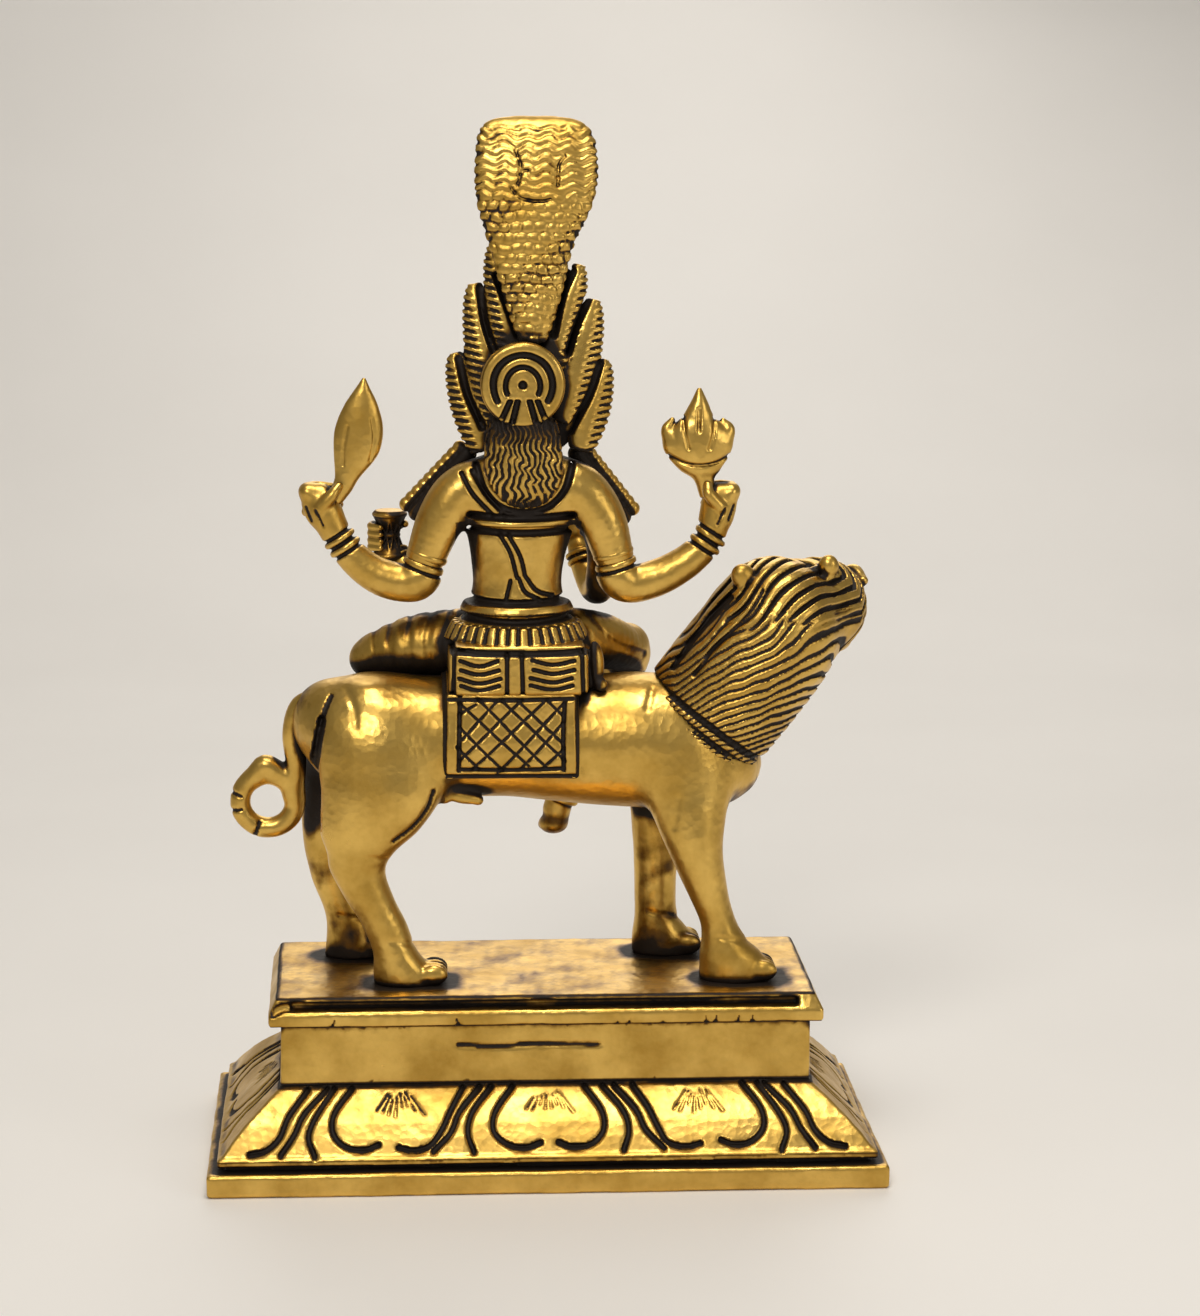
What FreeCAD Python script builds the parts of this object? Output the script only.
"""Cast brass statuette of a four-armed deity riding a lion under a seven-hooded cobra canopy.

Row frame, millimetres: +Z up, the lion walks along +X, the deity faces +Y and turns her back to -Y.
The origin is the centre of the plinth's underside.  The statuette is an assembly of separate castings:
a hollow plinth, a lion (trunk, four legs, head with mane, tail) screwed to it through the paws, and a
seated figure with its limbs, ornaments and canopy, held on the lion's back by a threaded stud.
"""
import FreeCAD, Part
import Sketcher
import math
import os

V = FreeCAD.Vector
X_AXIS, Y_AXIS, Z_AXIS = V(1, 0, 0), V(0, 1, 0), V(0, 0, 1)

doc = FreeCAD.newDocument("statue")
sheet = doc.addObject("Spreadsheet::Sheet", "sizes")
next_row = [1]

# ---------------------------------------------------------------- driving dimensions
SIZES = {
    # plinth: slab, groove, lotus skirt, neck and seat slab, from the floor up
    "base_width": 129.0, "base_depth": 68.0, "slab_height": 4.3,
    "groove_height": 1.3, "groove_inset": 3.6,
    "skirt_inset": 2.3, "skirt_height": 11.8, "skirt_bulge": 1.1,
    "neck_width": 101.4, "neck_depth": 39.4, "neck_height": 12.3,
    "seat_width": 105.9, "seat_depth": 43.4, "seat_lip": 2.2,
    "seat_top_width": 102.7, "seat_top_depth": 40.2, "seat_slope": 3.3,
    "channel_width": 99.0, "channel_height": 1.6, "channel_depth": 1.5,
    "wall": 3.4,
    # screws that hold the paws to the plinth
    "screw_radius": 1.5, "screw_bite": 5.0, "screw_head_radius": 2.9, "screw_head_height": 2.0,
    "screw_slot": 0.8, "clearance": 0.15, "thread_clearance": 0.05, "hole_overrun": 2.0, 
    "washer_radius": 3.6, "washer_height": 0.6,
    "right_fore_x": 36.0, "right_fore_y": -10.0, "left_fore_x": 24.0, "left_fore_y": 10.5,
    "right_hind_x": -27.0, "right_hind_y": -10.4, "left_hind_x": -37.0, "left_hind_y": 10.3,
    # stud between the lion's back and the figure
    "stud_x": -5.0, "stud_y": 0.0, "stud_radius": 2.5, "stud_bottom": 82.0, "stud_top": 104.0,
    # saddle cloth over the lion's back
    "cloth_left": -19.3, "cloth_right": 6.3, "cloth_hem": 75.6, "cloth_thickness": 0.9,
    "cloth_reach": 20.0, "cloth_rise": 30.0,
    # ring at the tail's end, and the lion's ears
    "tail_ring_x": -53.2, "tail_ring_y": 2.5, "tail_ring_z": 68.3,
    "tail_ring_radius": 5.3, "tail_radius": 2.0,
    "near_ear_x": 38.4, "near_ear_y": -6.5, "near_ear_z": 112.6,
    "far_ear_x": 46.5, "far_ear_y": 10.0, "far_ear_z": 115.5,
    "ear_half_height": 3.0, "ear_half_width": 2.6, "ear_half_depth": 1.8,
    # figure's head and what it wears
    "head_x": -4.0, "head_y": 1.2, "head_z": 149.0, "head_half_width": 6.6, "head_half_depth": 7.2,
    "head_half_height": 8.4,
    "disc_y": -7.6, "disc_z": 150.2, "disc_radius": 7.9, "disc_thickness": 2.0, "disc_boss_radius": 2.2,
    "disc_boss_height": 0.8, "disc_bevel": 0.6, "disc_rim": 1.2,
    "crown_y": 2.4, "crown_bottom": 154.0, "crown_height": 19.0, "crown_radius": 5.8, "crown_band": 2.4,
    "crown_bulge": 0.4, "crown_knob": 1.9,
    "hood_y": -2.0, "hood_lean": 2.4, "hood_thickness": 3.6,
    "pendant_radius": 1.9, "pendant_wire": 0.6,
    "bead_radius": 1.5, "beads": 8,
    "drum_x": -29.2, "drum_y": 12.6, "drum_z": 119.0,
    "drum_radius": 3.1, "drum_waist": 1.3, "drum_height": 9.4, "drum_hoop": 1.2, "drum_cord": 1.2,
    "flame_x": 29.6, "flame_y": -1.6, "horn_z": 141.0, "horn_spread": 5.6, "horn_radius": 1.3,
}

# Castings with no straight edge are lofts.  A row is one cross-section: its centre x, y, z, then its half
# widths along the loft's "across" direction and square to it.
LOFTS = {
    "lion_trunk": [
        (-46.3, 0, 84.3, 4.2, 4.6), (-43.5, 0, 83.0, 8.8, 7.8), (-38, 0, 81.4, 12.2, 10.4),
        (-30, 0, 80.7, 13.6, 12.2), (-18, 0, 81.0, 12.6, 11.4), (-6, 0, 81.0, 12.2, 11.4),
        (8, 0, 80.6, 12.8, 12.2), (20, 0, 80.3, 13.4, 13.0), (29, 0, 79.6, 12.4, 12.6),
        (36, 0, 77.4, 9.4, 9.4), (40.0, 0, 75.6, 5.0, 5.2)],
    "right_foreleg": [
        (27.5, -8.4, 76, 7.4, 4.6), (28.3, -9.6, 67, 6.6, 5.0), (29.2, -10.2, 60.5, 5.3, 4.8),
        (31.6, -10.2, 52, 4.1, 4.2), (33.5, -10.1, 46.4, 3.5, 3.7), (35.2, -10, 42.2, 4.7, 4.2),
        (36.6, -10, 38.6, 6.5, 4.9), (36.8, -10, 34.0, 6.6, 4.8)],
    "left_foreleg": [
        (22, 8.4, 76, 7.4, 4.6), (23, 9.8, 67, 5.8, 4.8), (23.2, 10.4, 58, 4.7, 4.4),
        (23, 10.5, 50, 4.2, 4.0), (23, 10.5, 43, 4.3, 4.1), (24.4, 10.5, 38.6, 6.0, 4.6),
        (24.6, 10.5, 34.0, 6.1, 4.6)],
    "right_hindleg": [
        (-32, -8.4, 83, 8.6, 4.6), (-32.3, -9.8, 76, 10.4, 5.8), (-33.2, -10.3, 67, 9.4, 5.4),
        (-35.2, -10.4, 60.6, 6.3, 4.6), (-35.6, -10.4, 56.6, 5.0, 4.2), (-33.6, -10.5, 51.4, 4.5, 3.9),
        (-30.9, -10.5, 46.6, 4.1, 3.8), (-28.9, -10.5, 41.8, 4.0, 3.9), (-27.2, -10.4, 38.4, 5.3, 4.3),
        (-26.6, -10.4, 34.6, 6.3, 4.4)],
    "left_hindleg": [
        (-35.5, 8.4, 83, 8.4, 4.6), (-36.5, 9.8, 76, 9.4, 5.6), (-38.4, 10.3, 67, 7.6, 5.2),
        (-40.8, 10.3, 59, 5.0, 4.3), (-39.8, 10.4, 51, 4.3, 3.9), (-37.8, 10.4, 43.6, 4.0, 3.9),
        (-36.8, 10.3, 38.6, 5.5, 4.3), (-36.8, 10.3, 34.0, 6.2, 4.4)],
    "lion_mane": [
        (30.5, 0, 83.6, 12.0, 12.6), (38.6, 0, 93.0, 13.4, 13.8), (46.0, 0.4, 101.9, 13.2, 13.8),
        (51.0, 0.8, 107.9, 11.8, 12.0), (54.6, 1.0, 112.0, 8.6, 8.2), (56.6, 1.0, 114.4, 4.4, 3.8)],
    "lion_snout": [
        (50.5, 4.5, 105.4, 6.6, 7.2), (54.4, 9.7, 105.0, 5.4, 6.0), (57.4, 13.7, 104.2, 4.6, 5.0),
        (59.4, 16.4, 103.8, 3.4, 3.6)],
    "tail_root": [
        (-43.2, 0, 87.4, 2.8, 2.8), (-46.6, 0.4, 85.6, 2.5, 2.5), (-48.6, 1.0, 81.4, 2.2, 2.2),
        (-48.6, 1.8, 76.4, 2.1, 2.1), (-47.9, 2.5, 70.6, 2.0, 2.0)],
    "torso": [
        (-5.0, 0.4, 91.5, 13.0, 11.4), (-5.0, 0.2, 96, 13.3, 12.0), (-5.0, 0, 101, 12.8, 11.2),
        (-5.0, -0.2, 105.5, 10.6, 8.8), (-4.9, -0.3, 110.5, 8.6, 6.8), (-4.8, -0.4, 116, 9.0, 6.8),
        (-4.4, -0.4, 122, 10.4, 7.2), (-4.1, -0.5, 128, 11.4, 7.2), (-4.0, -0.4, 133, 10.6, 6.2),
        (-3.9, 0, 137, 5.6, 4.8), (-3.9, 0.2, 141.5, 4.3, 4.4)],
    "rear_left_upper_arm": [
        (-10.0, -1.4, 131.2, 4.6, 4.6), (-15.4, -1.8, 129.4, 4.9, 4.9), (-19.4, -2.2, 124.0, 4.6, 4.6),
        (-22.3, -2.4, 117.4, 3.8, 3.8)],
    "rear_right_upper_arm": [
        (2.2, -1.4, 131.2, 4.6, 4.6), (7.4, -1.8, 129.4, 4.9, 4.9), (11.0, -2.2, 124.0, 4.6, 4.6),
        (13.4, -2.4, 117.6, 3.8, 3.8)],
    "rear_left_forearm": [
        (-21.3, -2.35, 119.7, 3.0, 3.0), (-22.5, -2.4, 116.6, 3.6, 3.6), (-23.8, -2.4, 113.4, 4.1, 4.1),
        (-27.0, -2.4, 112.2, 3.7, 3.7),
        (-31.6, -2.4, 113.4, 3.5, 3.5), (-36.0, -2.3, 116.4, 3.2, 3.2), (-39.4, -2.1, 120.4, 2.9, 2.9),
        (-41.6, -1.8, 125.0, 3.6, 3.4), (-42.6, -1.6, 129.6, 4.0, 3.4)],
    "rear_right_forearm": [
        (12.5, -2.35, 119.9, 3.0, 3.0), (13.6, -2.4, 116.8, 3.6, 3.6), (14.4, -2.4, 113.4, 4.1, 4.1),
        (17.6, -2.4, 111.6, 3.7, 3.7),
        (22.8, -2.4, 113.2, 3.5, 3.5), (28.0, -2.3, 116.0, 3.3, 3.3), (31.8, -2.1, 119.4, 3.0, 3.0),
        (33.4, -1.8, 124.6, 3.6, 3.4), (33.4, -1.6, 129.6, 4.0, 3.4)],
    "front_left_arm": [
        (-12.0, 4.6, 130.6, 3.6, 3.6), (-16.6, 6.2, 126.4, 4.0, 4.0), (-19.0, 7.2, 119.0, 3.6, 3.6),
        (-20.0, 7.8, 112.6, 3.5, 3.5), (-23.0, 10.0, 110.6, 3.2, 3.2), (-26.6, 12.2, 113.0, 2.8, 2.8),
        (-28.8, 13.4, 116.2, 2.6, 2.6), (-29.6, 15.6, 118.6, 3.0, 3.0), (-29.4, 16.2, 121.6, 2.6, 2.2)],
    "front_right_arm": [
        (4.2, 4.6, 130.6, 3.6, 3.6), (8.4, 6.2, 126.2, 4.0, 4.0), (10.0, 6.8, 118.0, 3.6, 3.6),
        (9.8, 7.4, 109.4, 3.5, 3.5), (9.6, 11.2, 107.6, 3.2, 3.2), (8.6, 15.2, 111.2, 2.7, 2.7),
        (7.8, 17.2, 115.4, 2.3, 2.3), (7.4, 17.8, 119.6, 3.2, 2.0), (7.3, 18.2, 124.0, 3.2, 1.6),
        (7.3, 18.4, 127.6, 2.4, 1.2)],
    "folded_thigh": [
        (-6.0, 4.0, 100.0, 7.0, 6.2), (-16, 6.4, 98.8, 6.4, 6.0), (-26, 7.6, 97.0, 5.4, 5.2),
        (-32.4, 8.2, 95.6, 4.2, 4.0), (-34.6, 8.6, 95.2, 2.4, 2.4)],
    "folded_shin": [
        (-31.4, 10.6, 95.6, 3.8, 3.8), (-24, 14.6, 96.2, 3.8, 3.8), (-14, 17.0, 97.0, 3.3, 3.3),
        (-6, 18.0, 97.4, 2.6, 2.6), (-1, 18.6, 97.4, 3.2, 2.8), (4.6, 18.8, 97.4, 3.0, 2.0)],
    "pendant_thigh": [
        (2.0, 4.0, 99.4, 6.8, 6.0), (10, 8.6, 98.4, 6.0, 5.6), (16.4, 13.0, 96.0, 4.8, 4.8),
        (18.6, 15.4, 94.6, 4.0, 4.0)],
    "pendant_shin": [
        (18.0, 15.6, 97.6, 3.6, 3.6), (17.0, 17.6, 91.0, 4.2, 4.2), (12.6, 18.2, 82.0, 3.8, 3.8),
        (7.6, 17.8, 72.6, 3.0, 3.0), (4.8, 17.4, 66.4, 2.6, 2.8), (3.6, 18.0, 62.2, 3.0, 3.6),
        (3.0, 18.6, 58.6, 3.4, 3.0)],
    "hair": [
        (-4.0, -6.9, 143.0, 6.6, 2.2), (-4.0, -7.6, 138.0, 7.6, 2.4), (-3.8, -7.9, 133.0, 7.4, 2.0),
        (-3.6, -7.8, 129.0, 4.8, 1.6), (-3.5, -7.6, 127.4, 2.4, 1.0)],
    "leaf": [
        (-39.6, -1.6, 127.6, 2.0, 1.5), (-37.4, -1.6, 131.6, 2.5, 1.8), (-35.6, -1.6, 136.4, 4.2, 2.2),
        (-35.0, -1.6, 141.2, 4.5, 2.2), (-34.6, -1.6, 145.6, 3.3, 1.7), (-34.2, -1.6, 149.4, 1.2, 0.9),
        (-34.0, -1.6, 150.8, 0.4, 0.4)],
    "flame": [
        (31.6, -1.6, 128.6, 2.0, 1.8), (30.8, -1.6, 131.4, 2.2, 1.8), (29.8, -1.6, 134.2, 5.0, 2.4),
        (29.6, -1.6, 137.8, 6.5, 2.8), (29.6, -1.6, 141.4, 5.4, 2.5), (29.7, -1.6, 144.6, 2.3, 1.9),
        (29.8, -1.6, 147.8, 1.2, 1.2), (29.8, -1.6, 148.9, 0.6, 0.6)],
    "centre_hood": [
        (-2.2, -4.8, 158.0, 2.6, 1.6), (-2.2, -4.4, 163, 4.4, 1.9), (-2.3, -3.8, 170, 6.6, 2.1),
        (-2.3, -3.2, 176, 8.0, 2.2), (-1.8, -2.4, 182, 10.6, 2.3), (-1.4, -1.2, 188, 11.6, 2.3),
        (-1.3, 0.6, 194, 11.5, 2.2), (-1.4, 2.4, 199.3, 10.6, 1.4)],
}
# Side hoods fan out from the nape: foot x and z, tip x and z, and half width.
SIDE_HOODS = {
    "left": [(-11.8, 138.6, -16.9, 155.4, 3.5), (-9.4, 142.0, -13.4, 168.6, 4.3),
             (-6.4, 152.0, -9.8, 175.6, 3.6)],
    "right": [(7.4, 138.6, 11.6, 154.2, 3.5), (4.6, 142.0, 9.8, 165.6, 4.3),
              (2.0, 152.0, 7.0, 172.2, 3.6)]}
HOOD_PROFILE = [(0.0, 0.62), (0.2, 0.9), (0.45, 1.0), (0.7, 0.9), (0.88, 0.6), (1.0, 0.2)]
# Crown tiers: foot as a share of the crown's height, and girth as a share of its radius.  Each tier narrows
# along its profile, and the knob on top follows its own, ending on the axis.
CROWN_TIERS = [(0.0, 0.92), (0.24, 0.70), (0.48, 0.48)]
TIER_PROFILE = [(1.0, 0.0), (0.96, 0.17), (0.8, 0.22)]
KNOB_PROFILE = [(0.8, 0.89), (1.0, 0.93), (0.75, 0.98), (0.0, 1.0)]
# Rounded ends of a loft: turn in degrees, and how far that lies beyond the end as a share of its half width.
ROUND_CAPS = [(25, 0.42), (55, 0.82), (76, 0.97)]
# String of beads on each shoulder: first and last bead's x, y, z.
GARLANDS = {"left": ((-16.4, 3.4, 137.4), (-26.2, 4.6, 126.8)),
            "right": ((8.6, 3.4, 137.4), (18.0, 4.6, 125.8))}
PAWS = ("right_fore", "left_fore", "right_hind", "left_hind")
RING_POINTS = 12


# ---------------------------------------------------------------- sheet
def cell(alias, value):
    """Adds one named size to the sheet."""
    row = next_row[0]
    sheet.set("A%d" % row, alias)
    sheet.set("B%d" % row, repr(float(value)))
    sheet.setAlias("B%d" % row, alias)
    next_row[0] += 1


def write_sheet():
    """Fills the sheet, and returns the first row of each loft's table."""
    for alias, value in SIZES.items():
        cell(alias, value)
    firsts = {}
    for name, rows in LOFTS.items():
        firsts[name] = next_row[0]
        for row in rows:
            sheet.set("A%d" % next_row[0], name)
            for column, value in zip("BCDEF", row):
                sheet.set("%s%d" % (column, next_row[0]), repr(float(value)))
            next_row[0] += 1
    doc.recompute()
    return firsts


FIRST_ROW = write_sheet()


def size(alias):
    """A named size, read from the sheet."""
    return float(sheet.get(alias))


def stations(name):
    """A loft's rows, read from the sheet."""
    first = FIRST_ROW[name]
    rows = range(first, first + len(LOFTS[name]))
    return [[float(sheet.get("%s%d" % (c, row))) for c in "BCDEF"] for row in rows]


def bind(obj, **expressions):
    """Binds an object's properties to the sheet.  A double underscore stands for a dot."""
    for prop, expression in expressions.items():
        obj.setExpression(prop.replace("__", "."), expression)
    return obj


# ---------------------------------------------------------------- primitives and booleans
def primitive(kind, name, x="0", y="0", z="0", **expressions):
    """A Part primitive at x, y, z, all bound to the sheet."""
    obj = doc.addObject("Part::" + kind, name)
    bind(obj, Placement__Base__x=x, Placement__Base__y=y, Placement__Base__z=z, **expressions)
    return obj


def ellipsoid(name, x, y, z, half_x, half_y, half_z):
    """An ellipsoid with its three half axes bound to the sheet."""
    return primitive("Ellipsoid", name, x, y, z, Radius1=half_z, Radius2=half_x, Radius3=half_y)


def feature(name, shape):
    """A Part::Feature that holds a computed shape."""
    obj = doc.addObject("Part::Feature", name)
    obj.Shape = shape
    return obj


def fuse(name, *members):
    obj = doc.addObject("Part::MultiFuse", name)
    obj.Shapes = list(members)
    return obj


def group(name, *members):
    obj = doc.addObject("Part::Compound", name)
    obj.Links = list(members)
    return obj


def cut(name, base, *tools):
    """base less every tool."""
    obj = doc.addObject("Part::Cut", name)
    obj.Base = base
    obj.Tool = tools[0] if len(tools) == 1 else group(name + "_tools", *tools)
    return obj


def common(name, base, tool):
    obj = doc.addObject("Part::Common", name)
    obj.Base, obj.Tool = base, tool
    return obj


# ---------------------------------------------------------------- lofted castings
def ring(centre, normal, across, half_across, half_up):
    """A closed smooth wire of elliptic outline, square to normal."""
    side = (across - normal * across.dot(normal)).normalize()
    up = normal.cross(side)
    points = []
    for i in range(RING_POINTS):
        angle = 2 * math.pi * i / RING_POINTS
        points.append(centre + side * (half_across * math.cos(angle)) + up * (half_up * math.sin(angle)))
    curve = Part.BSplineCurve()
    curve.interpolate(points, PeriodicFlag=True)
    return Part.Wire(curve.toShape())


def loft_shape(rows, across, round_start=False, round_end=False, grow=0.0):
    """A solid through elliptic sections, square to the line of centres and ruled between them."""
    centres = [V(*row[:3]) for row in rows]
    rings, last = [], len(rows) - 1
    for i, row in enumerate(rows):
        normal = (centres[min(i + 1, last)] - centres[max(i - 1, 0)]).normalize()
        rings.append((centres[i], normal, row[3] + grow, row[4] + grow))
    if round_start:
        c, n, a, b = rings[0]
        reach = min(a, b)
        rings = [(c - n * reach * s, n, a * math.cos(math.radians(t)), b * math.cos(math.radians(t)))
                 for t, s in reversed(ROUND_CAPS)] + rings
    if round_end:
        c, n, a, b = rings[-1]
        reach = min(a, b)
        rings += [(c + n * reach * s, n, a * math.cos(math.radians(t)), b * math.cos(math.radians(t)))
                  for t, s in ROUND_CAPS]
    wires = [ring(c, n, across, a, b) for c, n, a, b in rings]
    solid = Part.makeLoft(wires, True, True)
    if solid.Volume < 0:
        solid.reverse()
    return solid


def casting(name, across=X_AXIS, **options):
    """A lofted casting from its table in the sheet."""
    return feature(name, loft_shape(stations(name), across, **options))


# ---------------------------------------------------------------- PartDesign helpers
def new_body(name):
    body = doc.addObject("PartDesign::Body", name)
    planes = {f.Role: f for f in body.Origin.OriginFeatures}
    return body, planes


def rectangle(body, plane, name, width, depth, height="0"):
    """A centred rectangle sketch, width by depth, at a height above its plane."""
    sketch = body.newObject("Sketcher::SketchObject", name)
    sketch.AttachmentSupport = [(plane, "")]
    sketch.MapMode = "FlatFace"
    corners = [V(-1, -1, 0), V(1, -1, 0), V(1, 1, 0), V(-1, 1, 0)]
    for i in range(4):
        sketch.addGeometry(Part.LineSegment(corners[i], corners[(i + 1) % 4]))
    for i in range(4):
        sketch.addConstraint(Sketcher.Constraint("Coincident", i, 2, (i + 1) % 4, 1))
    for edge, way in ((0, "Horizontal"), (1, "Vertical"), (2, "Horizontal"), (3, "Vertical")):
        sketch.addConstraint(Sketcher.Constraint(way, edge))
    sketch.addConstraint(Sketcher.Constraint("Symmetric", 0, 1, 2, 1, -1, 1))
    across = sketch.addConstraint(Sketcher.Constraint("DistanceX", 0, 1, 0, 2, 2.0))
    along = sketch.addConstraint(Sketcher.Constraint("DistanceY", 1, 1, 1, 2, 2.0))
    bind(sketch, **{"Constraints[%d]" % across: width, "Constraints[%d]" % along: depth})
    sketch.setExpression("AttachmentOffset.Base.z", height)
    return sketch


def circle(body, plane, name, radius, x, y, height):
    """A circle sketch centred at x, y."""
    sketch = body.newObject("Sketcher::SketchObject", name)
    sketch.AttachmentSupport = [(plane, "")]
    sketch.MapMode = "FlatFace"
    sketch.addGeometry(Part.Circle(V(0, 0, 0), Z_AXIS, 1.0))
    round_edge = sketch.addConstraint(Sketcher.Constraint("Radius", 0, 1.0))
    bind(sketch, **{"Constraints[%d]" % round_edge: radius})
    for axis, expression in zip("xyz", (x, y, height)):
        sketch.setExpression("AttachmentOffset.Base." + axis, expression)
    return sketch


def pad(body, sketch, name, length):
    obj = body.newObject("PartDesign::Pad", name)
    obj.Profile = sketch
    return bind(obj, Length=length)


def pocket(body, sketch, name, length, upwards=False):
    obj = body.newObject("PartDesign::Pocket", name)
    obj.Profile = sketch
    obj.Reversed = upwards
    return bind(obj, Length=length)


def loft_between(body, kind, name, sketches):
    obj = body.newObject("PartDesign::" + kind, name)
    obj.Profile = sketches[0]
    obj.Sections = sketches[1:]
    obj.Ruled = False
    return obj


def revolved(name, outline, x, y, z):
    """A body of revolution about its own Z axis, from (radius, height) points of its outline."""
    body, planes = new_body(name)
    sketch = body.newObject("Sketcher::SketchObject", name + "_outline")
    sketch.AttachmentSupport = [(planes["XZ_Plane"], "")]
    sketch.MapMode = "FlatFace"
    ends = [V(r, h, 0) for r, h in outline]
    for i, end in enumerate(ends):
        sketch.addGeometry(Part.LineSegment(end, ends[(i + 1) % len(ends)]))
    for i in range(len(ends)):
        sketch.addConstraint(Sketcher.Constraint("Coincident", i, 2, (i + 1) % len(ends), 1))
    turn = body.newObject("PartDesign::Revolution", name + "_turn")
    turn.Profile = sketch
    turn.ReferenceAxis = (sketch, ["V_Axis"])
    turn.Angle = 360
    bind(body, Placement__Base__x=x, Placement__Base__y=y, Placement__Base__z=z)
    return body


# ---------------------------------------------------------------- plinth and its fasteners
def make_plinth():
    """Hollow stepped plinth: slab, groove, bulging skirt, neck, and a seat slab with two channels."""
    body, planes = new_body("plinth_body")
    floor, front = planes["XY_Plane"], planes["XZ_Plane"]
    s = "sizes."
    groove_top = s + "slab_height + " + s + "groove_height"
    skirt_top = groove_top + " + " + s + "skirt_height"
    neck_top = skirt_top + " + " + s + "neck_height"
    lip_top = neck_top + " + " + s + "seat_lip"
    seat_top = lip_top + " + " + s + "seat_slope"
    pad(body, rectangle(body, floor, "slab_outline", s + "base_width", s + "base_depth"),
        "slab", s + "slab_height")
    inset = " - 2 * sizes.groove_inset"
    pad(body, rectangle(body, floor, "groove_outline", s + "base_width" + inset, s + "base_depth" + inset,
                        s + "slab_height"), "groove", s + "groove_height")
    inset = " - 2 * sizes.skirt_inset"
    middle = "(sizes.base_%s - 2 * sizes.skirt_inset + sizes.neck_%s) / 2 + 2 * sizes.skirt_bulge"
    loft_between(body, "AdditiveLoft", "skirt", [
        rectangle(body, floor, "skirt_foot", s + "base_width" + inset, s + "base_depth" + inset, groove_top),
        rectangle(body, floor, "skirt_middle", middle % ("width", "width"), middle % ("depth", "depth"),
                  groove_top + " + sizes.skirt_height / 2"),
        rectangle(body, floor, "skirt_head", s + "neck_width", s + "neck_depth", skirt_top)])
    pad(body, rectangle(body, floor, "neck_outline", s + "neck_width", s + "neck_depth", skirt_top),
        "neck", s + "neck_height")
    pad(body, rectangle(body, floor, "lip_outline", s + "seat_width", s + "seat_depth", neck_top),
        "lip", s + "seat_lip")
    loft_between(body, "AdditiveLoft", "seat", [
        rectangle(body, floor, "seat_foot", s + "seat_width", s + "seat_depth", lip_top),
        rectangle(body, floor, "seat_head", s + "seat_top_width", s + "seat_top_depth", seat_top)])
    doc.recompute()
    # channels along the front and back of the seat slab
    height = lip_top + " + sizes.seat_slope / 2"
    for name, way in (("front", -1), ("back", 1)):
        channel = rectangle(body, front, name + "_channel_outline", s + "channel_width", s + "channel_height",
                            "%d * (sizes.seat_depth / 2 - sizes.channel_depth / 2)" % -way)
        channel.setExpression("AttachmentOffset.Base.y", height)
        pocket(body, channel, name + "_channel", "2 * sizes.channel_depth").Midplane = True
    # hollow underside: a sloping part below the skirt and a straight one inside the neck
    inner_width, inner_depth = "sizes.neck_width - 2 * sizes.wall", "sizes.neck_depth - 2 * sizes.wall"
    loft_between(body, "SubtractiveLoft", "skirt_hollow", [
        rectangle(body, floor, "hollow_mouth", "sizes.base_width - 2 * sizes.groove_inset - 2 * sizes.wall",
                  "sizes.base_depth - 2 * sizes.groove_inset - 2 * sizes.wall"),
        rectangle(body, floor, "hollow_waist", inner_width, inner_depth,
                  groove_top + " + sizes.skirt_height * 0.75")])
    pocket(body, rectangle(body, floor, "hollow_roof", inner_width, inner_depth), "neck_hollow",
           seat_top + " - sizes.wall", upwards=True)
    # clearance holes for the paw screws
    for paw in PAWS:
        hole = circle(body, floor, paw + "_hole_outline", "sizes.screw_radius + sizes.clearance",
                      "sizes.%s_x" % paw, "sizes.%s_y" % paw, seat_top + " - sizes.wall - 1")
        pocket(body, hole, paw + "_hole", "sizes.wall + 2", upwards=True)
    return body


def seat_height():
    """Height of the plinth's top face."""
    parts = ("slab_height", "groove_height", "skirt_height", "neck_height", "seat_lip", "seat_slope")
    return " + ".join("sizes." + p for p in parts)


def make_fasteners():
    """Slotted screws and washers inside the plinth, one under each paw."""
    screws, washers = [], []
    roof = seat_height() + " - sizes.wall"
    under_washer = roof + " - sizes.washer_height"
    for paw in PAWS:
        x, y = "sizes.%s_x" % paw, "sizes.%s_y" % paw
        shank = primitive("Cylinder", paw + "_shank", x, y, under_washer, Radius="sizes.screw_radius",
                          Height="sizes.wall + sizes.washer_height + sizes.screw_bite")
        head = primitive("Cylinder", paw + "_head", x, y, under_washer + " - sizes.screw_head_height",
                         Radius="sizes.screw_head_radius", Height="sizes.screw_head_height")
        slot = primitive("Box", paw + "_slot", x + " - sizes.screw_head_radius", y + " - sizes.screw_slot / 2",
                         under_washer + " - sizes.screw_head_height", Length="2 * sizes.screw_head_radius",
                         Width="sizes.screw_slot", Height="sizes.screw_slot")
        screws.append(cut(paw + "_screw", fuse(paw + "_blank", shank, head), slot))
        disc = primitive("Cylinder", paw + "_washer_disc", x, y, under_washer, Radius="sizes.washer_radius",
                         Height="sizes.washer_height")
        hole = primitive("Cylinder", paw + "_washer_hole", x, y, under_washer,
                         Radius="sizes.screw_radius + sizes.clearance", Height="sizes.washer_height")
        washers.append(cut(paw + "_washer", disc, hole))
    return group("paw_screws", *screws), group("paw_washers", *washers)


def make_stud():
    return primitive("Cylinder", "seat_stud", "sizes.stud_x", "sizes.stud_y", "sizes.stud_bottom",
                     Radius="sizes.stud_radius", Height="sizes.stud_top - sizes.stud_bottom")


def drilled(name, base, tool_name, x, y, bottom, length):
    """base with an upright hole that clears a screw or the stud."""
    drill = primitive("Cylinder", tool_name, x, y, bottom, Height=length,
                      Radius="sizes.screw_radius + sizes.thread_clearance")
    return cut(name, base, drill)


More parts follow.
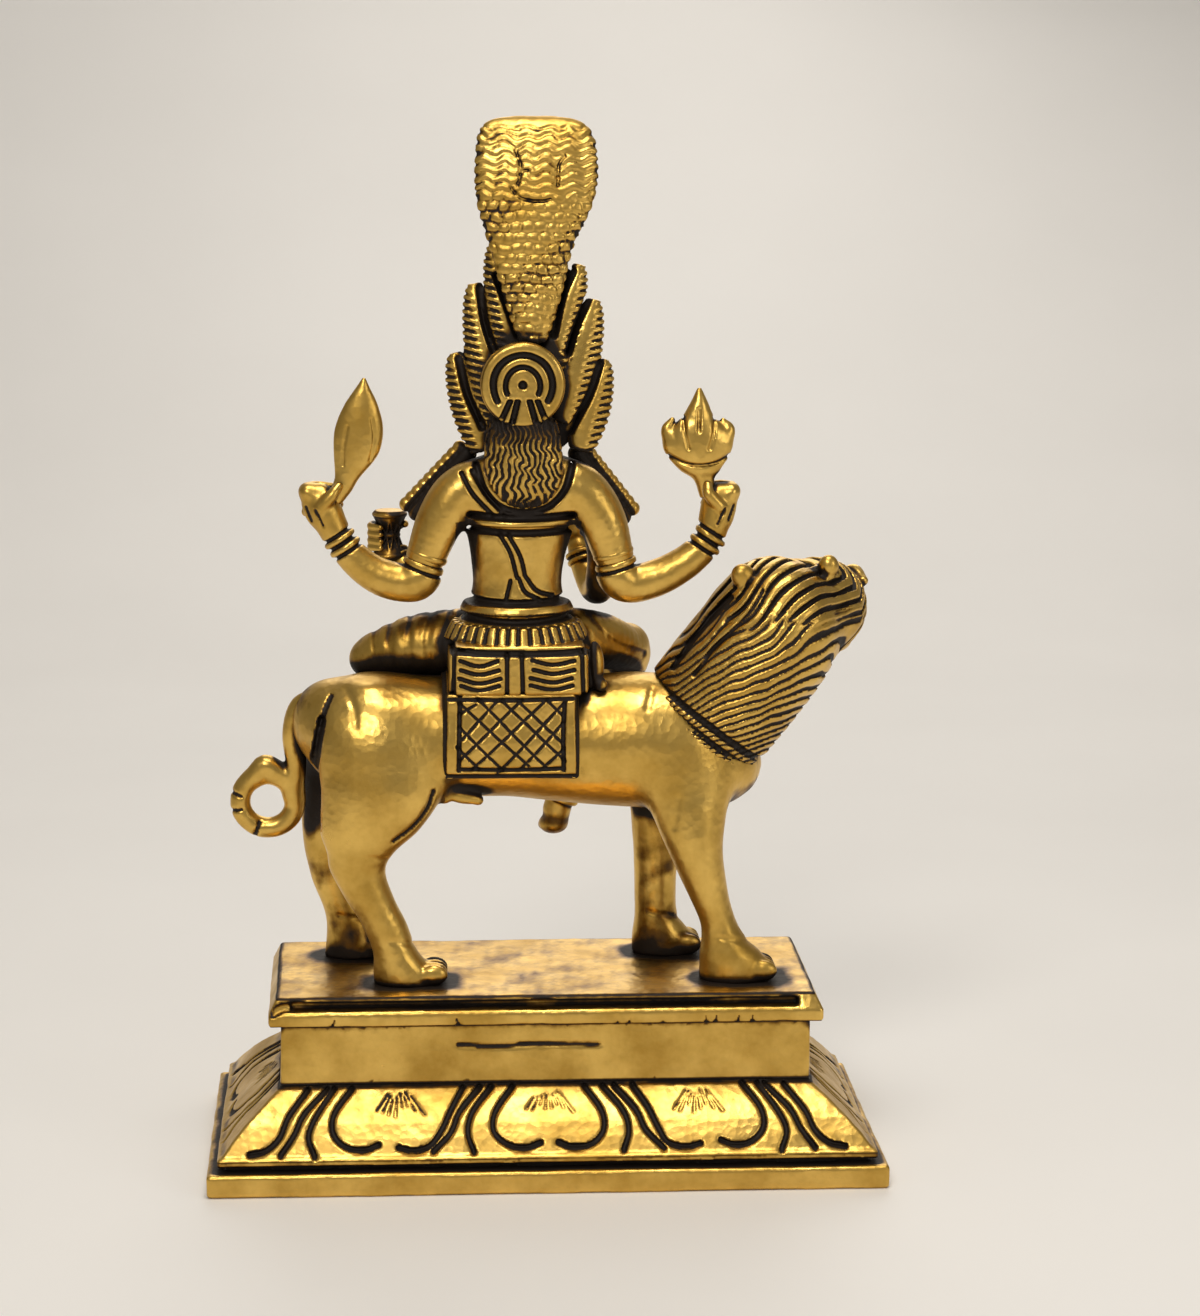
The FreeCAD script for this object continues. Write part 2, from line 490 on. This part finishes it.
# ---------------------------------------------------------------- lion
def make_lion(stud, plinth):
    """Trunk, legs, head with mane, tail and saddle cloth, each cut back to what it is brazed to."""
    trunk = cut("lion_body", casting("lion_trunk", Y_AXIS), stud)
    parts = {"lion_body": trunk}
    for paw, leg in (("right_fore", "right_foreleg"), ("left_fore", "left_foreleg"),
                     ("right_hind", "right_hindleg"), ("left_hind", "left_hindleg")):
        solid = casting(leg, X_AXIS)
        seated = cut("lion_" + leg + "_seated", solid, trunk, plinth)
        parts["lion_" + leg] = drilled("lion_" + leg, seated, leg + "_drill", "sizes.%s_x" % paw,
                                       "sizes.%s_y" % paw, seat_height() + " - sizes.hole_overrun",
                                       "sizes.screw_bite + 2 * sizes.hole_overrun")
    mane = casting("lion_mane", Y_AXIS, round_end=True)
    snout = casting("lion_snout", X_AXIS, round_end=True)
    ears = [ellipsoid(name, *["sizes.%s_%s" % (name, axis) for axis in "xyz"], "sizes.ear_half_width",
                      "sizes.ear_half_depth", "sizes.ear_half_height") for name in ("near_ear", "far_ear")]
    legs = [parts["lion_right_foreleg"], parts["lion_left_foreleg"]]
    parts["lion_head"] = cut("lion_head", fuse("lion_head_blank", mane, snout, *ears), trunk, *legs)
    ring_path = primitive("Torus", "tail_ring", "sizes.tail_ring_x", "sizes.tail_ring_y", "sizes.tail_ring_z",
                          Radius1="sizes.tail_ring_radius", Radius2="sizes.tail_radius")
    ring_path.Placement.Rotation = FreeCAD.Rotation(X_AXIS, 90)
    tail = fuse("lion_tail_blank", casting("tail_root", Y_AXIS), ring_path)
    hind = [parts["lion_right_hindleg"], parts["lion_left_hindleg"]]
    parts["lion_tail"] = cut("lion_tail", tail, trunk, *hind)
    # the cloth is the trunk's own loft grown by its thickness, kept between its hems
    grown = feature("grown_trunk", loft_shape(stations("lion_trunk"), Y_AXIS, grow=size("cloth_thickness")))
    limits = primitive("Box", "cloth_limits", "sizes.cloth_left", "-sizes.cloth_reach", "sizes.cloth_hem",
                       Length="sizes.cloth_right - sizes.cloth_left", Width="2 * sizes.cloth_reach",
                       Height="sizes.cloth_rise")
    draped = common("cloth_blank", grown, limits)
    parts["saddle_cloth"] = cut("saddle_cloth", draped, trunk, stud)
    return parts


# ---------------------------------------------------------------- figure
def make_figure(lion, stud):
    """Hips and torso with the rear upper arms, the limbs brazed to them, the head and its ornaments."""
    seat = (lion["lion_body"], lion["saddle_cloth"])
    blank = fuse("torso_blank", casting("torso"), casting("rear_left_upper_arm", Y_AXIS),
                 casting("rear_right_upper_arm", Y_AXIS))
    torso = cut("torso", blank, stud, *seat)
    parts = {"torso": torso}
    for side in ("left", "right"):
        forearm = casting("rear_%s_forearm" % side, Y_AXIS, round_end=True)
        parts["rear_%s_forearm" % side] = cut("rear_%s_forearm_seated" % side, forearm, torso)
        arm = casting("front_%s_arm" % side, X_AXIS, round_end=True)
        parts["front_%s_arm" % side] = cut("front_%s_arm_seated" % side, arm, torso)
    folded = fuse("folded_leg_blank", casting("folded_thigh", Z_AXIS, round_end=True),
                  casting("folded_shin", Z_AXIS, round_start=True, round_end=True))
    parts["folded_leg"] = cut("folded_leg", folded, torso, stud, parts["front_left_arm"], *seat)
    pendant = fuse("pendant_leg_blank", casting("pendant_thigh", Z_AXIS, round_end=True),
                   casting("pendant_shin", X_AXIS, round_start=True, round_end=True))
    parts["pendant_leg"] = cut("pendant_leg", pendant, torso, parts["folded_leg"], parts["front_right_arm"],
                               lion["lion_head"], lion["lion_left_foreleg"], stud, *seat)
    return parts


def make_head(torso):
    """Head, crown, the disc behind it, the hair below the disc, and the pendants at the ears."""
    place = ("sizes.head_x", "sizes.head_y", "sizes.head_z")
    blank = ellipsoid("head_blank", *place, "sizes.head_half_width", "sizes.head_half_depth",
                      "sizes.head_half_height")
    head = cut("head", blank, torso)
    thick, wide, bevel, rim = (size("disc_" + part) for part in ("thickness", "radius", "bevel", "rim"))
    boss, proud = size("disc_boss_radius"), size("disc_boss_height")
    sunk = thick - bevel
    outline = [(0, 0), (wide - bevel, 0), (wide, bevel), (wide, sunk), (wide - bevel, thick),
               (wide - rim, thick), (wide - rim - bevel, sunk), (boss, sunk), (boss - bevel, sunk + proud),
               (0, sunk + proud)]
    wheel = revolved("disc_body", outline, "sizes.head_x", "sizes.disc_y", "sizes.disc_z")
    wheel.Placement.Rotation = FreeCAD.Rotation(X_AXIS, 90)
    disc = cut("head_disc", wheel, head, torso)
    hair = cut("back_hair", casting("hair", X_AXIS, round_start=True, round_end=True), torso, head, disc)
    tall, broad, band, knob = (size("crown_" + part) for part in ("height", "radius", "band", "knob"))
    tiers = [(0, 0), (broad, 0), (broad + size("crown_bulge"), band / 2), (broad, band)]
    for foot, girth in CROWN_TIERS:
        tiers += [(broad * girth * shrink, band + (foot + rise) * tall) for shrink, rise in TIER_PROFILE]
    tiers += [(knob * girth, tall * rise) for girth, rise in KNOB_PROFILE]
    crown_blank = revolved("crown_body", tiers, "sizes.head_x", "sizes.crown_y", "sizes.crown_bottom")
    crown = cut("crown", crown_blank, head)
    drops = []
    for side, sign in (("left", "-"), ("right", "+")):
        x = "sizes.head_x %s (sizes.head_half_width + sizes.pendant_wire / 2)" % sign
        drop = primitive("Torus", side + "_drop", x, "sizes.head_y",
                         "sizes.head_z - sizes.head_half_height * 0.45",
                         Radius1="sizes.pendant_radius", Radius2="sizes.pendant_wire")
        drop.Placement.Rotation = FreeCAD.Rotation(Y_AXIS, 90)
        drops.append(drop)
    pendants = [cut("%s_pendant" % drop.Name, drop, head) for drop in drops]
    return {"head": head, "head_disc": disc, "back_hair": hair, "crown": crown,
            "ear_pendants": group("ear_pendants", *pendants)}


def hood_rows(foot_x, foot_z, tip_x, tip_z, half_width):
    """Stations of one side hood, which leans forward a little towards its tip."""
    foot, tip = V(foot_x, size("hood_y"), foot_z), V(tip_x, size("hood_y") + size("hood_lean"), tip_z)
    rows = []
    for along, girth in HOOD_PROFILE:
        centre = foot + (tip - foot) * along
        rows.append((centre.x, centre.y, centre.z, half_width * girth, size("hood_thickness") / 2))
    return rows


def make_canopy(torso, wear):
    """The tall middle hood and the three lower hoods on each side of it."""
    crown, disc, head, hair = wear["crown"], wear["head_disc"], wear["head"], wear["back_hair"]
    middle = cut("middle_hood", casting("centre_hood"), crown, disc, head)
    parts = {"middle_hood": middle}
    for side, hoods in SIDE_HOODS.items():
        leaves = [feature("%s_leaf_%d" % (side, i + 1), loft_shape(hood_rows(*hood), X_AXIS))
                  for i, hood in enumerate(hoods)]
        parts[side + "_hoods"] = cut(side + "_hoods", fuse(side + "_hoods_blank", *leaves), middle, crown, disc,
                                     head, hair, torso, wear["ear_pendants"])
    return parts


def make_garlands(torso, canopy, arms):
    """A string of touching beads over each shoulder, in front of the arm."""
    parts = {}
    count = int(size("beads"))
    for side, (first, last) in GARLANDS.items():
        beads = []
        for i in range(count):
            place = V(*first) + (V(*last) - V(*first)) * (i / (count - 1.0))
            bead = primitive("Sphere", "%s_bead_%d" % (side, i + 1), Radius="sizes.bead_radius")
            for axis in "xyz":
                bead.setExpression("Placement.Base." + axis, repr(getattr(place, axis)))
            beads.append(bead)
        blank = fuse("%s_beads" % side, *beads)
        parts["%s_garland" % side] = cut("%s_garland" % side, blank, torso, canopy[side + "_hoods"],
                                         arms[side])
    return parts


def make_attributes(limbs):
    """What the hands hold: a curved blade, a flame in a bowl, and a small hourglass drum."""
    blade = cut("leaf_blade", casting("leaf", X_AXIS), limbs["rear_left_forearm"])
    fire = casting("flame", X_AXIS)
    horns = []
    for name, way in (("near_horn", "-"), ("far_horn", "+")):
        horns.append(primitive("Sphere", name, "sizes.flame_x %s sizes.horn_spread" % way, "sizes.flame_y",
                               "sizes.horn_z", Radius="sizes.horn_radius"))
    flame = cut("flame_bowl", fuse("flame_blank", fire, *horns), limbs["rear_right_forearm"])
    half, wide, waist = size("drum_height") / 2, size("drum_radius"), size("drum_waist")
    hoop, cord = half - size("drum_hoop"), size("drum_cord") / 2
    outline = [(0, -half), (wide, -half), (wide, -hoop), (waist, -cord), (waist, cord), (wide, hoop),
               (wide, half), (0, half)]
    drum = revolved("drum_body", outline, "sizes.drum_x", "sizes.drum_y", "sizes.drum_z")
    return {"leaf_blade": blade, "flame_bowl": flame,
            "hand_drum": cut("hand_drum", drum, limbs["front_left_arm"])}


# ---------------------------------------------------------------- assembly
plinth = make_plinth()
screws, washers = make_fasteners()
stud = make_stud()
nodes = {"plinth": plinth, "paw_screws": screws, "paw_washers": washers, "seat_stud": stud}
lion = make_lion(stud, plinth)
limbs = make_figure(lion, stud)
wear = make_head(limbs["torso"])
canopy = make_canopy(limbs["torso"], wear)
arms = {side: limbs["front_%s_arm" % side] for side in ("left", "right")}
for made in (lion, limbs, wear, canopy, make_garlands(limbs["torso"], canopy, arms), make_attributes(limbs)):
    nodes.update(made)
doc.recompute()

failed = ["%s %s" % (obj.Name, obj.State) for obj in doc.Objects
          if "Invalid" in obj.State or "Error" in obj.State]
if failed:
    raise RuntimeError("objects that failed: " + ", ".join(failed))
for name, node in nodes.items():
    node.Label = name
    shape = node.Shape
    if shape.isNull() or not shape.isValid() or shape.Volume <= 0:
        raise RuntimeError(name + " has no valid solid")

os.makedirs("parts", exist_ok=True)
for name, node in nodes.items():
    node.Shape.exportStep("parts/%s.step" % name)
    box = node.Shape.BoundBox
    extent = (box.XMin, box.XMax, box.YMin, box.YMax, box.ZMin, box.ZMax)
    print("%-20s solids %d  volume %8.1f mm3" % (name, len(node.Shape.Solids), node.Shape.Volume),
          " x %6.1f %6.1f  y %6.1f %6.1f  z %6.1f %6.1f" % extent)
